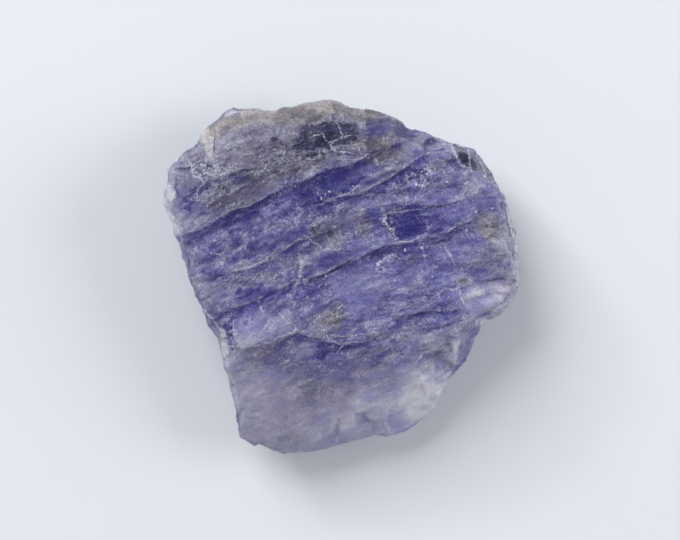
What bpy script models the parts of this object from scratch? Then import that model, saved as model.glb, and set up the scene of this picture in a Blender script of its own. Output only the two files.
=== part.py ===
"""Rough iolite crystal: one broken, banded plate of cordierite lying on its back.

The broad banded face looks up (+Z), X runs to the right and Y towards the top of that face.
The origin is at the middle of the crystal's box, on the surface that it rests on.
The crystal is one solid: a front relief and a back relief that meet in a ragged rim.
"""

import math

import bpy
import numpy as np

# Driving dimensions. Everything below is drawn in millimetres on a plate of the drawn width.
MM = 0.001
WIDTH = 20.0
DRAWN_WIDTH = 20.0
PLATE_HEIGHT = 5.0
LEAST_THICKNESS = 0.04

# The bands run up to the right at this angle, and arch a little (per millimetre of their run).
BAND_ANGLE = 22.0
BAND_ARCH = 0.012

# Mesh of the two reliefs before it is thinned out, and the triangles that are kept.
SPOKES = 560
RINGS = 110
RING_CROWDING = 1.35
FACE_BUDGET = 9000

# The rim of the plate as seen from above, clockwise from the left shoulder.
OUTLINE = [
    (-9.80, 6.10), (-9.50, 6.35), (-9.10, 6.65), (-8.85, 7.00), (-8.15, 7.50), (-7.90, 8.10),
    (-7.35, 8.60), (-6.95, 8.95), (-6.55, 9.30), (-6.05, 9.50), (-5.35, 9.45), (-5.05, 9.52),
    (-4.65, 9.45), (-4.20, 9.35), (-3.70, 9.35), (-3.30, 9.45), (-2.75, 9.50), (-2.45, 9.68),
    (-2.10, 9.80), (-1.40, 9.90), (-0.75, 10.00), (-0.10, 9.92), (0.15, 9.70), (0.50, 9.53),
    (1.45, 9.42), (1.95, 9.37), (2.70, 9.10), (3.25, 8.85), (3.50, 8.60), (3.70, 8.33),
    (3.95, 8.25), (4.20, 8.27), (4.95, 8.02), (5.75, 7.65), (6.70, 7.40), (7.40, 7.20),
    (7.80, 6.75), (8.25, 6.08), (8.65, 5.40), (8.88, 4.90), (9.15, 4.50), (9.22, 4.10),
    (9.38, 3.67), (9.50, 3.15), (9.72, 2.65), (9.83, 2.10), (9.94, 1.30), (9.94, 0.40),
    (10.00, -0.10), (9.83, -0.60), (9.66, -1.10), (9.38, -1.60), (9.00, -2.00), (8.37, -2.32),
    (8.03, -2.37), (7.80, -2.90), (7.47, -3.40), (7.25, -3.97), (7.13, -4.42), (6.74, -5.04),
    (6.24, -5.43), (6.07, -5.94), (5.79, -6.22), (5.62, -6.67), (5.28, -7.23), (4.72, -7.85),
    (3.88, -8.52), (3.15, -8.88), (2.58, -9.00), (1.85, -8.97), (0.85, -9.14), (0.00, -9.42),
    (-1.12, -9.70), (-2.36, -9.90), (-3.26, -9.95), (-4.04, -9.70), (-4.49, -9.45),
    (-4.94, -9.42), (-5.39, -9.17), (-5.67, -9.05), (-5.84, -8.46), (-5.90, -7.68),
    (-6.18, -6.55), (-6.40, -5.48), (-6.63, -4.75), (-6.80, -3.91), (-7.02, -3.29),
    (-7.47, -2.73), (-7.70, -2.00), (-8.20, -0.94), (-8.65, 0.13), (-8.74, 0.75),
    (-8.99, 1.47), (-9.16, 2.03), (-9.33, 2.25), (-9.44, 2.76), (-9.72, 3.43), (-9.97, 4.05),
    (-10.00, 4.56), (-9.80, 5.35),
]

# Around the rim: direction in degrees, height of the sharp rim, steepness of the wall above and below it.
RIM = [
    (0, 2.7, 4.2, 3.0),
    (20, 2.7, 3.4, 2.6),
    (38, 2.6, 2.5, 2.4),
    (60, 2.8, 2.4, 2.0),
    (88, 2.7, 1.3, 1.8),
    (118, 2.7, 1.0, 2.4),
    (148, 2.9, 1.5, 2.6),
    (165, 3.3, 4.5, 3.2),
    (200, 3.5, 6.0, 2.6),
    (222, 3.2, 5.0, 2.2),
    (245, 2.5, 2.6, 1.8),
    (270, 1.9, 1.5, 1.4),
    (300, 1.8, 1.2, 1.4),
    (325, 2.2, 1.7, 2.2),
    (345, 2.5, 3.2, 2.8),
]
RIM_HEIGHT, WALL_ABOVE, WALL_BELOW = 1, 2, 3
WALL_CHIP = 1.15

# How the front falls off: past each line towards the rim, the fall per millimetre.
FOOT_LINE, FOOT_FALL = -3.2, 0.26
HEAD_LINE, HEAD_FALL = 5.6, 0.24
LEFT_LINE, RIGHT_LINE, SIDE_FALL = -3.0, 4.0, 0.05

# Below this line the front is smoother: the share of its fine relief that goes, over this distance.
CALM_LINE, CALM_SHARE, CALM_REACH = -4.2, 0.65, 2.0

# Ledges of the front: the layer above each line stands proud by the drop and sinks back over the reach.
LEDGES = {
    "main": (0.42, 2.6, [(-8.65, 2.30), (-7.65, 2.88), (-6.57, 3.44), (-5.45, 3.89), (-4.50, 4.28),
                         (-3.70, 4.68), (-2.92, 5.18), (-2.08, 5.46), (-1.12, 5.86), (0.17, 6.14),
                         (1.00, 6.60)]),
    "left shoulder": (0.24, 1.6, [(-9.16, 4.17), (-8.54, 4.61), (-7.98, 4.90), (-7.30, 5.46),
                                  (-6.52, 5.69), (-5.56, 6.02), (-4.50, 6.10)]),
    "upper window foot": (0.26, 1.2, [(-2.86, 6.70), (-1.80, 6.98), (-0.67, 7.10), (0.22, 7.22),
                                      (1.00, 7.36)]),
    "upper right": (0.30, 2.0, [(-1.46, 4.17), (-0.34, 4.34), (0.56, 4.62), (1.46, 4.96), (2.42, 5.46),
                                (3.26, 5.91), (4.10, 6.42), (5.06, 7.08), (5.90, 7.30)]),
    "right": (0.22, 1.5, [(4.60, 3.98), (5.80, 4.00), (6.74, 4.23), (7.75, 4.46), (8.60, 4.60)]),
    "long middle": (0.36, 1.9, [(-1.90, -0.20), (-1.12, 0.24), (-0.11, 0.58), (0.84, 0.91), (1.69, 1.42),
                                (2.42, 1.75), (3.03, 1.92), (3.93, 2.04), (4.83, 2.26), (5.62, 2.48),
                                (6.35, 2.77), (7.30, 3.15)]),
    "left middle": (0.26, 1.5, [(-7.60, 0.00), (-6.40, 0.24), (-5.34, 0.41), (-4.27, 0.91), (-3.37, 1.50),
                                (-2.70, 1.92), (-1.90, 2.25)]),
    "left lower": (0.24, 1.2, [(-6.50, -1.90), (-5.17, -1.39), (-4.49, -1.17), (-3.70, -0.72),
                               (-2.92, -0.44), (-2.30, 0.00)]),
    "lens brow": (0.26, 0.9, [(-3.60, -3.60), (-2.47, -3.00), (-1.68, -3.25), (-0.67, -3.64),
                              (0.17, -3.70), (1.10, -3.50)]),
    "lens foot": (0.18, 0.9, [(-2.60, -4.75), (-1.00, -4.70), (0.73, -4.48), (2.25, -4.20),
                              (3.40, -3.70)]),
    "right lower": (0.20, 1.0, [(2.42, -2.52), (3.26, -2.13), (4.38, -1.96), (5.51, -1.96),
                                (6.80, -1.75)]),
    "right foot": (0.16, 0.9, [(2.98, -2.97), (4.38, -2.80), (5.60, -2.60), (6.63, -2.30)]),
}
RISER_WIDTH = 0.14
LEDGE_END = 0.9

# Clean fractures that end in a flat: depth below (or height above) the layers at its middle,
# fall to the right and to the top, steepness of its sides, corners.
WINDOWS = {
    "upper window": (-0.30, 0.04, 0.24, 1.8, [(-2.45, 7.12), (-2.05, 8.05), (-0.80, 8.42), (0.55, 8.50),
                                              (0.98, 7.70), (0.85, 7.32), (-0.70, 7.18)]),
    "violet window": (-0.34, -0.06, 0.14, 1.8, [(2.53, 3.38), (3.15, 3.61), (4.27, 3.72), (4.66, 2.71),
                                                (4.49, 2.20), (3.15, 2.12), (2.68, 2.75)]),
    "pale block": (0.12, 0.05, 0.16, 3.0, [(-6.07, -2.57), (-5.73, -2.20), (-5.17, -1.85), (-4.16, -1.80),
                                           (-3.30, -2.05), (-2.47, -2.88), (-3.76, -3.50),
                                           (-4.60, -3.85), (-5.56, -3.95), (-5.84, -3.58)]),
    "centre step": (-0.20, -0.12, 0.08, 3.0, [(-2.32, 1.30), (-2.25, 0.50), (-2.45, -0.05), (-2.80, -0.50),
                                              (-1.50, -0.55), (-0.60, 0.10), (-0.90, 0.80),
                                              (-1.60, 1.35)]),
    "corner facet": (-0.28, 0.24, 0.10, 1.2, [(6.15, 7.30), (6.30, 6.60), (7.20, 6.02), (8.05, 6.05),
                                              (7.85, 6.90), (7.30, 7.35)]),
    "lavender flat": (-0.12, 0.03, -0.08, 1.0, [(0.05, -0.55), (1.20, -0.35), (2.30, -1.20), (2.45, -2.00),
                                                (1.30, -2.10), (0.10, -1.60)]),
    "left dark flat": (-0.18, -0.12, 0.16, 1.2, [(-9.10, 3.95), (-8.10, 4.75), (-7.60, 4.55),
                                                 (-8.00, 3.30), (-8.60, 2.75)]),
}

# Shell-shaped scoops: middle across the face, radius of the scoop's rim, depth.
SCOOPS = {
    "right lobe": (8.15, -0.85, 1.90, 0.42),
    "left spall": (-9.64, -4.83, 3.55, 2.60),
    "lower right spall": (5.60, -7.20, 1.60, 0.50),
    "small arc": (5.10, -4.80, 1.25, 0.28),
    "lens": (-0.60, -4.05, 1.35, 0.22),
    "upper left bite": (-8.35, 7.95, 1.25, 0.45),
    "left nick": (-9.75, 3.20, 0.90, 0.50),
    "top nick": (3.85, 8.90, 1.00, 0.45),
    "lower right nick": (7.90, -3.40, 1.15, 0.60),
}

# Layered and grainy relief that covers the faces: spacing or size across the bands, height.
FRONT_LAYERS = [(1.15, 0.22), (0.55, 0.09)]
FRONT_GRAIN = (0.7, 0.09)
BACK_LAYERS = (1.3, 0.30)
BACK_GRAIN = (0.8, 0.16)

# Flats of the back: direction that each faces, distance from the origin where it starts, slope.
BACK_FLATS = [
    (18, 2.7, 0.26),
    (64, 3.3, 0.20),
    (104, 4.6, 0.40),
    (146, 3.2, 0.30),
    (184, 2.6, 0.34),
    (228, 3.6, 0.24),
    (284, 3.0, 0.16),
    (326, 3.5, 0.34),
]
BACK_SUNK = 0.12
BACK_LIFT = 0.10


def lattice(column, row, seed):
    """A fixed pseudo-random value from 0 to 1 for each cell of a square lattice."""
    mixed = column.astype(np.int64) * 374761393 + row.astype(np.int64) * 668265263 + seed * 69069
    mixed = mixed & 0xFFFFFFFF
    mixed = ((mixed ^ (mixed >> 13)) * 1274126177) & 0xFFFFFFFF
    mixed = ((mixed ^ (mixed >> 16)) * 2246822519) & 0xFFFFFFFF
    return (mixed ^ (mixed >> 15)) / 0xFFFFFFFF


def noise(x, y, cell, seed):
    """Smooth noise from -1 to 1 whose humps are about a cell across."""
    x, y = x / cell, y / cell
    column, row = np.floor(x), np.floor(y)
    across, up = ramp(x - column), ramp(y - row)
    low = lattice(column, row, seed) * (1 - across) + lattice(column + 1, row, seed) * across
    high = lattice(column, row + 1, seed) * (1 - across) + lattice(column + 1, row + 1, seed) * across
    return 2 * (low * (1 - up) + high * up) - 1


def ramp(value):
    """Smooth step from 0 at 0 to 1 at 1."""
    t = np.clip(value, 0, 1)
    return t * t * (3 - 2 * t)


def chips(x, y, cell, seed):
    """For each point the column and row of its chip, and its distances from the chip's middle."""
    column, row = np.floor(x / cell), np.floor(y / cell)
    nearest = np.full(np.shape(x), np.inf)
    chip = [np.zeros(np.shape(x)) for _ in range(4)]
    for right in (-1, 0, 1):
        for up in (-1, 0, 1):
            found = [column + right, row + up]
            found.append(x - (found[0] + lattice(*found, seed)) * cell)
            found.append(y - (found[1] + lattice(*found[:2], seed + 1)) * cell)
            distance = np.hypot(*found[2:])
            closer = distance < nearest
            nearest = np.where(closer, distance, nearest)
            chip = [np.where(closer, new, old) for new, old in zip(found, chip)]
    return chip


def band_coordinates(x, y):
    """Distances along and across the crystal's gently arched bands."""
    turn = math.radians(BAND_ANGLE)
    along = x * math.cos(turn) + y * math.sin(turn)
    across = y * math.cos(turn) - x * math.sin(turn)
    return along, across + BAND_ARCH * along**2


def ledge_relief(along, across, drop, reach, line):
    """A layer that ends in a ragged riser along a line and thins out behind it."""
    line_along, line_across = band_coordinates(*np.array(line).T)
    ragged = 0.10 * noise(along, across, 0.7, seed=3)
    above = across - np.interp(along, line_along, line_across) - ragged
    riser = ramp(above / RISER_WIDTH + 0.5)
    start = ramp((along - line_along[0]) / LEDGE_END + 0.5)
    end = ramp((line_along[-1] - along) / LEDGE_END + 0.5)
    return drop * riser * start * end * np.exp(-np.maximum(above, 0) / reach)


def shingles(along, across, spacing, height, seed):
    """Layers of random length that each rise towards their lower edge and end there in a riser."""
    wander = 0.45 * noise(along, 2.5 * across, 3.4, seed)
    ragged = 0.12 * noise(along, across, 0.8, seed + 1)
    place = across / spacing + wander + ragged
    layer = np.floor(place)
    rise = 1 - (place - layer)
    zero = np.zeros(np.shape(layer))
    length = 2.2 + 3.5 * lattice(layer, zero, seed + 2)
    block = np.floor(along / length + 7 * lattice(layer, zero, seed + 3))
    proud = lattice(block, layer, seed + 4) * rise * ramp((1 - rise) / 0.10)
    level = lattice(block, layer, seed + 5) - 0.5
    return height * (proud + 0.30 * level)


def broken_grain(x, y, cell, height, seed):
    """Small flat facets of random height and tilt, twice as long along the bands as across."""
    along, across = band_coordinates(x, y)
    column, row, right, up = chips(along / 2, across, cell, seed)
    level = lattice(column, row, seed + 2) - 0.5
    fall_right = (lattice(column, row, seed + 3) - 0.5) * right
    fall_up = (lattice(column, row, seed + 4) - 0.5) * up
    return height * (level + 1.6 * (fall_right + fall_up) / cell)


def outside_polygon(x, y, corners):
    """How far a point lies outside a convex polygon, below zero inside it."""
    corners = np.array(corners)
    if np.cross(corners[1] - corners[0], corners[2] - corners[1]) > 0:
        corners = corners[::-1]
    furthest = np.full(np.shape(x), -np.inf)
    for start, end in zip(corners, np.roll(corners, -1, axis=0)):
        run_x, run_y = (end - start) / np.linalg.norm(end - start)
        furthest = np.maximum(furthest, (y - start[1]) * run_x - (x - start[0]) * run_y)
    return furthest


def rim_distance(x, y, outline):
    """Distance from each point to the nearest stretch of the rim."""
    nearest = np.full(np.shape(x), np.inf)
    for start, end in zip(outline, np.roll(outline, -1, axis=0)):
        run = end - start
        share = np.clip(((x - start[0]) * run[0] + (y - start[1]) * run[1]) / (run @ run), 0, 1)
        reach = np.hypot(x - start[0] - share * run[0], y - start[1] - share * run[1])
        nearest = np.minimum(nearest, reach)
    return nearest


def around_rim(x, y, column):
    """One column of RIM, read off at each point's direction from the middle."""
    table = np.array(RIM, float)
    angles = np.concatenate([table[:, 0], table[:1, 0] + 360])
    values = np.concatenate([table[:, column], table[:1, column]])
    return np.interp(np.degrees(np.arctan2(y, x)) % 360, angles, values)


def chipped_wall(x, y, inset, steepness, seed):
    """Rise of the rim's wall away from its sharp edge, broken into flat chips."""
    around = np.arctan2(y, x) * DRAWN_WIDTH / 2
    column, row, right, _ = chips(around, 1.4 * inset, WALL_CHIP, seed)
    share = 0.70 + 0.60 * lattice(column, row, seed + 2)
    level = 0.30 * (lattice(column, row, seed + 3) - 0.5)
    fall = 0.50 * (lattice(column, row, seed + 4) - 0.5) * right
    return steepness * (inset * share + (level + fall) * ramp(inset / 0.3))


def front_layers(x, y):
    """The banded face before its fractures: a low crown with ledges, shingles and grain."""
    along, across = band_coordinates(x, y)
    height = PLATE_HEIGHT + 0.16 * noise(x, y, 4.5, seed=11)
    height -= FOOT_FALL * np.maximum(FOOT_LINE - y, 0) + HEAD_FALL * np.maximum(y - HEAD_LINE, 0)
    height -= SIDE_FALL * (np.maximum(LEFT_LINE - x, 0) + np.maximum(x - RIGHT_LINE, 0))
    rough = 1 - CALM_SHARE * ramp((CALM_LINE - y) / CALM_REACH)
    for drop, reach, line in LEDGES.values():
        height += ledge_relief(along, across, drop, reach, line)
    for number, (spacing, rise) in enumerate(FRONT_LAYERS):
        height += rough * shingles(along, across, spacing, rise, seed=20 * (number + 1))
    return height + rough * broken_grain(x, y, *FRONT_GRAIN, seed=60)


def front_relief(x, y, inset):
    """Height of the upper surface, inset being the distance from the rim."""
    height = front_layers(x, y)
    ragged_x = x + 0.16 * noise(x, y, 0.9, seed=31) + 0.07 * noise(x, y, 0.35, seed=32)
    ragged_y = y + 0.16 * noise(x, y, 0.9, seed=33) + 0.07 * noise(x, y, 0.35, seed=34)
    for lift, fall_right, fall_up, steepness, corners in WINDOWS.values():
        middle = np.mean(corners, axis=0)
        level = front_layers(middle[:1], middle[1:])[0] + lift
        flat = level - fall_right * (x - middle[0]) - fall_up * (y - middle[1])
        outside = np.maximum(outside_polygon(ragged_x, ragged_y, corners), 0)
        if lift < 0:
            height = np.minimum(height, flat + steepness * outside)
        else:
            height = np.maximum(height, flat - steepness * outside)
    for middle_x, middle_y, radius, depth in SCOOPS.values():
        reach = np.minimum(np.hypot(x - middle_x, y - middle_y) / radius, 1)
        ripple = 1 + 0.25 * np.cos(9 * reach)
        height -= depth * (1 - reach**2) * ripple
    wall = chipped_wall(x, y, inset, around_rim(x, y, WALL_ABOVE), seed=70)
    return np.minimum(height, around_rim(x, y, RIM_HEIGHT) + wall)


def back_relief(x, y, inset):
    """Height of the lower surface: tilted flats around a sunk middle, and the wall under the rim."""
    height = np.full(np.shape(x), -BACK_SUNK)
    ragged_x = x + 0.30 * noise(x, y, 1.6, seed=91)
    ragged_y = y + 0.30 * noise(x, y, 1.6, seed=92)
    for facing, start, slope in BACK_FLATS:
        turn = math.radians(facing)
        out = ragged_x * math.cos(turn) + ragged_y * math.sin(turn) - start
        height = np.maximum(height, slope * out)
    along, across = band_coordinates(x, -y)
    relief = BACK_LIFT + 0.10 * noise(x, y, 3.0, seed=96)
    relief += shingles(along, across, *BACK_LAYERS, seed=80)
    relief += broken_grain(x, -y, *BACK_GRAIN, seed=93)
    height += relief * ramp((height + BACK_SUNK) / 0.25)
    wall = chipped_wall(x, y, inset, around_rim(x, y, WALL_BELOW), seed=97)
    return np.maximum(height, around_rim(x, y, RIM_HEIGHT) - wall)


def spaced_outline():
    """The rim as evenly spaced points, one for each spoke."""
    corners = np.array(OUTLINE)
    closed = np.vstack([corners, corners[:1]])
    travelled = np.concatenate([[0], np.cumsum(np.hypot(*np.diff(closed, axis=0).T))])
    stops = np.linspace(0, travelled[-1], SPOKES, endpoint=False)
    return np.column_stack([np.interp(stops, travelled, closed[:, axis]) for axis in (0, 1)])


def ring_faces(index, pole, facing_down):
    """Quads between neighbouring rings and a fan around the pole. The rim runs clockwise."""
    following = np.roll(index, -1, axis=1)
    quads = np.stack([index[:-1], following[:-1], following[1:], index[1:]], axis=2).reshape(-1, 4)
    fan = np.column_stack([np.full(SPOKES, pole), following[0], index[0]])
    if facing_down:
        return quads[:, ::-1].tolist() + fan[:, ::-1].tolist()
    return quads.tolist() + fan.tolist()


def crystal_mesh():
    """Both reliefs on spokes from the middle to the rim, where they share one ring of points."""
    rim = spaced_outline()
    shares = 1 - (1 - np.arange(1, RINGS + 1) / RINGS) ** RING_CROWDING
    x, y = (np.outer(shares, rim[:, axis]) for axis in (0, 1))
    inset = rim_distance(x, y, rim)
    inset[-1] = 0
    front = front_relief(x, y, inset)
    back = back_relief(x, y, inset)
    back = np.minimum(back, front - LEAST_THICKNESS)
    front_points = np.stack([x, y, front], axis=2).reshape(-1, 3)
    back_points = np.stack([x, y, back], axis=2)[:-1].reshape(-1, 3)
    middle, deep_inside = np.zeros(1), np.full(1, DRAWN_WIDTH / 2)
    poles = [(0, 0, relief(middle, middle, deep_inside)[0]) for relief in (front_relief, back_relief)]
    points = np.vstack([front_points, back_points, poles]) * MM * WIDTH / DRAWN_WIDTH
    front_index = np.arange(RINGS * SPOKES).reshape(RINGS, SPOKES)
    back_index = front_index[:-1] + RINGS * SPOKES
    back_index = np.vstack([back_index, front_index[-1:]])
    faces = ring_faces(front_index, len(points) - 2, facing_down=False)
    faces += ring_faces(back_index, len(points) - 1, facing_down=True)
    mesh = bpy.data.meshes.new("iolite_crystal")
    mesh.from_pydata(points.tolist(), [], faces)
    mesh.update()
    return mesh


def rest_cutter():
    """A block under the resting surface that takes the back's sunk middle off flat."""
    span, depth = 1.5 * WIDTH * MM, 2 * MM
    bpy.ops.mesh.primitive_cube_add(size=1, location=(0, 0, -depth / 2), scale=(span, span, depth))
    cutter = bpy.context.object
    cutter.name = "rest_cutter"
    cutter.hide_render = True
    cutter.display_type = "WIRE"
    return cutter


def iolite_material():
    """Translucent violet-blue stone."""
    material = bpy.data.materials.new("iolite")
    material.use_nodes = True
    shader = material.node_tree.nodes["Principled BSDF"]
    shader.inputs["Base Color"].default_value = (0.20, 0.18, 0.38, 1)
    shader.inputs["Metallic"].default_value = 0
    shader.inputs["Roughness"].default_value = 0.35
    shader.inputs["IOR"].default_value = 1.54
    shader.inputs["Transmission Weight"].default_value = 0.6
    return material


def main():
    for leftover in list(bpy.data.objects):
        bpy.data.objects.remove(leftover)
    mesh = crystal_mesh()
    mesh.materials.append(iolite_material())
    crystal = bpy.data.objects.new("iolite_crystal", mesh)
    bpy.context.scene.collection.objects.link(crystal)
    thin = crystal.modifiers.new("thin out", "DECIMATE")
    thin.ratio = FACE_BUDGET / (2 * len(mesh.polygons))
    cut = crystal.modifiers.new("resting flat", "BOOLEAN")
    cut.operation = "DIFFERENCE"
    cut.object = rest_cutter()


main()
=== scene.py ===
"""Looks of the rough iolite crystal: fine broken relief, translucent violet stone, light and camera."""

import math
from functools import partial, reduce

import bpy
import numpy as np
from mathutils.bvhtree import BVHTree
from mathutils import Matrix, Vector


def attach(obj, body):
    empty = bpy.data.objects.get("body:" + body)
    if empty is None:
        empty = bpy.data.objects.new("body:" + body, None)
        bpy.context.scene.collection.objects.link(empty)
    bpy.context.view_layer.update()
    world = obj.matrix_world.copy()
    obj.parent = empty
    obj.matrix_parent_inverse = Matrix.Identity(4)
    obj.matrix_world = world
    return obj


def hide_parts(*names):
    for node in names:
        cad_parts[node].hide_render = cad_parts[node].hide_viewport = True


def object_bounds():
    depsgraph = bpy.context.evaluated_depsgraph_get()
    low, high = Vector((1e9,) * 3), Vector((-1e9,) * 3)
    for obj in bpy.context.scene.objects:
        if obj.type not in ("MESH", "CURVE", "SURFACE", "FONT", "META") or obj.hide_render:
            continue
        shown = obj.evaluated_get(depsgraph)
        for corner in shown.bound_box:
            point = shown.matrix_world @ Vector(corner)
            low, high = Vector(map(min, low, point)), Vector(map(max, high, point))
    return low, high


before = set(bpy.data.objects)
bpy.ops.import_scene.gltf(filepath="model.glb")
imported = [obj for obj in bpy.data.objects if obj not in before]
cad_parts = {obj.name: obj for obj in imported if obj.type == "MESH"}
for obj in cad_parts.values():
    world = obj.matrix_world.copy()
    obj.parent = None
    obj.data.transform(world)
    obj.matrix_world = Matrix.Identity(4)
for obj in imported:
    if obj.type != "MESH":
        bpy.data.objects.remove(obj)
CAD_BOX = [[float(value) for value in corner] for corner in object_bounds()]

MM = 0.001

# The bands run up to the right at this angle, and arch a little (per millimetre of their run).
BAND_ANGLE = 22.0
BAND_ARCH = 0.012

# Point spacing of the stone's mesh in millimetres: along the bands, across them and upwards.
SPACING = (0.144, 0.080, 0.104)

# Rounds of averaging between neighbours for normals, fine relief, broad relief and thickness.
NORMAL_ROUNDS, FINE_ROUNDS, BROAD_ROUNDS, THICKNESS_ROUNDS = 10, 8, 90, 6

# Finest relief in millimetres. Layers: spacing across the bands, height. Grain: cell, height.
LAYERS = [(0.46, 0.034), (0.23, 0.016)]
GRAINS = [(0.62, 0.045), (0.3, 0.032)]
GRAIN_LENGTH = 1.8
LIP_HEIGHT = 0.03

# Shift of the layers across the bands per millimetre of height, and how much rougher the rim is.
LAYER_DIP = 0.45
RIM_ROUGHNESS = 0.4

# Ledges of the front: how dark the painted shade below each is, how far that reaches, its line.
LEDGES = {
    "main": (1.0, 1.1, [(-8.65, 2.3), (-7.65, 2.88), (-6.57, 3.44), (-5.45, 3.89), (-4.5, 4.28),
        (-3.7, 4.68), (-2.92, 5.18), (-2.08, 5.46), (-1.12, 5.86), (0.17, 6.14), (1.0, 6.6)]),
    "left shoulder": (0.7, 0.7, [(-9.16, 4.17), (-8.54, 4.61), (-7.98, 4.9), (-7.3, 5.46), (-6.52, 5.69),
        (-5.56, 6.02), (-4.5, 6.1)]),
    "upper window foot": (0.5, 0.4, [(-2.86, 6.7), (-1.8, 6.98), (-0.67, 7.1), (0.22, 7.22), (1.0, 7.36)]),
    "upper right": (1.0, 0.9, [(-1.46, 4.17), (-0.34, 4.34), (0.56, 4.62), (1.46, 4.96), (2.42, 5.46),
        (3.26, 5.91), (4.1, 6.42), (5.06, 7.08), (5.9, 7.3)]),
    "right": (0.8, 0.8, [(4.6, 3.98), (5.8, 4.0), (6.74, 4.23), (7.75, 4.46), (8.6, 4.6)]),
    "long middle": (1.0, 0.8, [(-1.9, -0.2), (-1.12, 0.24), (-0.11, 0.58), (0.84, 0.91), (1.69, 1.42),
        (2.42, 1.75), (3.03, 1.92), (3.93, 2.04), (4.83, 2.26), (5.62, 2.48), (6.35, 2.77), (7.3, 3.15)]),
    "left middle": (0.9, 0.7, [(-7.6, 0.0), (-6.4, 0.24), (-5.34, 0.41), (-4.27, 0.91), (-3.37, 1.5),
        (-2.7, 1.92), (-1.9, 2.25)]),
    "left lower": (0.8, 0.8, [(-6.5, -1.9), (-5.17, -1.39), (-4.49, -1.17), (-3.7, -0.72), (-2.92, -0.44),
        (-2.3, 0.0)]),
    "lens brow": (0.9, 0.9, [(-3.6, -3.6), (-2.47, -3.0), (-1.68, -3.25), (-0.67, -3.64), (0.17, -3.7),
        (1.1, -3.5)]),
    "lens foot": (0.5, 0.6, [(-2.6, -4.75), (-1.0, -4.7), (0.73, -4.48), (2.25, -4.2), (3.4, -3.7)]),
    "right lower": (0.5, 0.5, [(2.42, -2.52), (3.26, -2.13), (4.38, -1.96), (5.51, -1.96), (6.8, -1.75)]),
    "right foot": (0.4, 0.4, [(2.98, -2.97), (4.38, -2.8), (5.6, -2.6), (6.63, -2.3)]),
}

# Length in millimetres over which a ledge fades out at its ends.
LEDGE_END = 0.9
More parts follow.
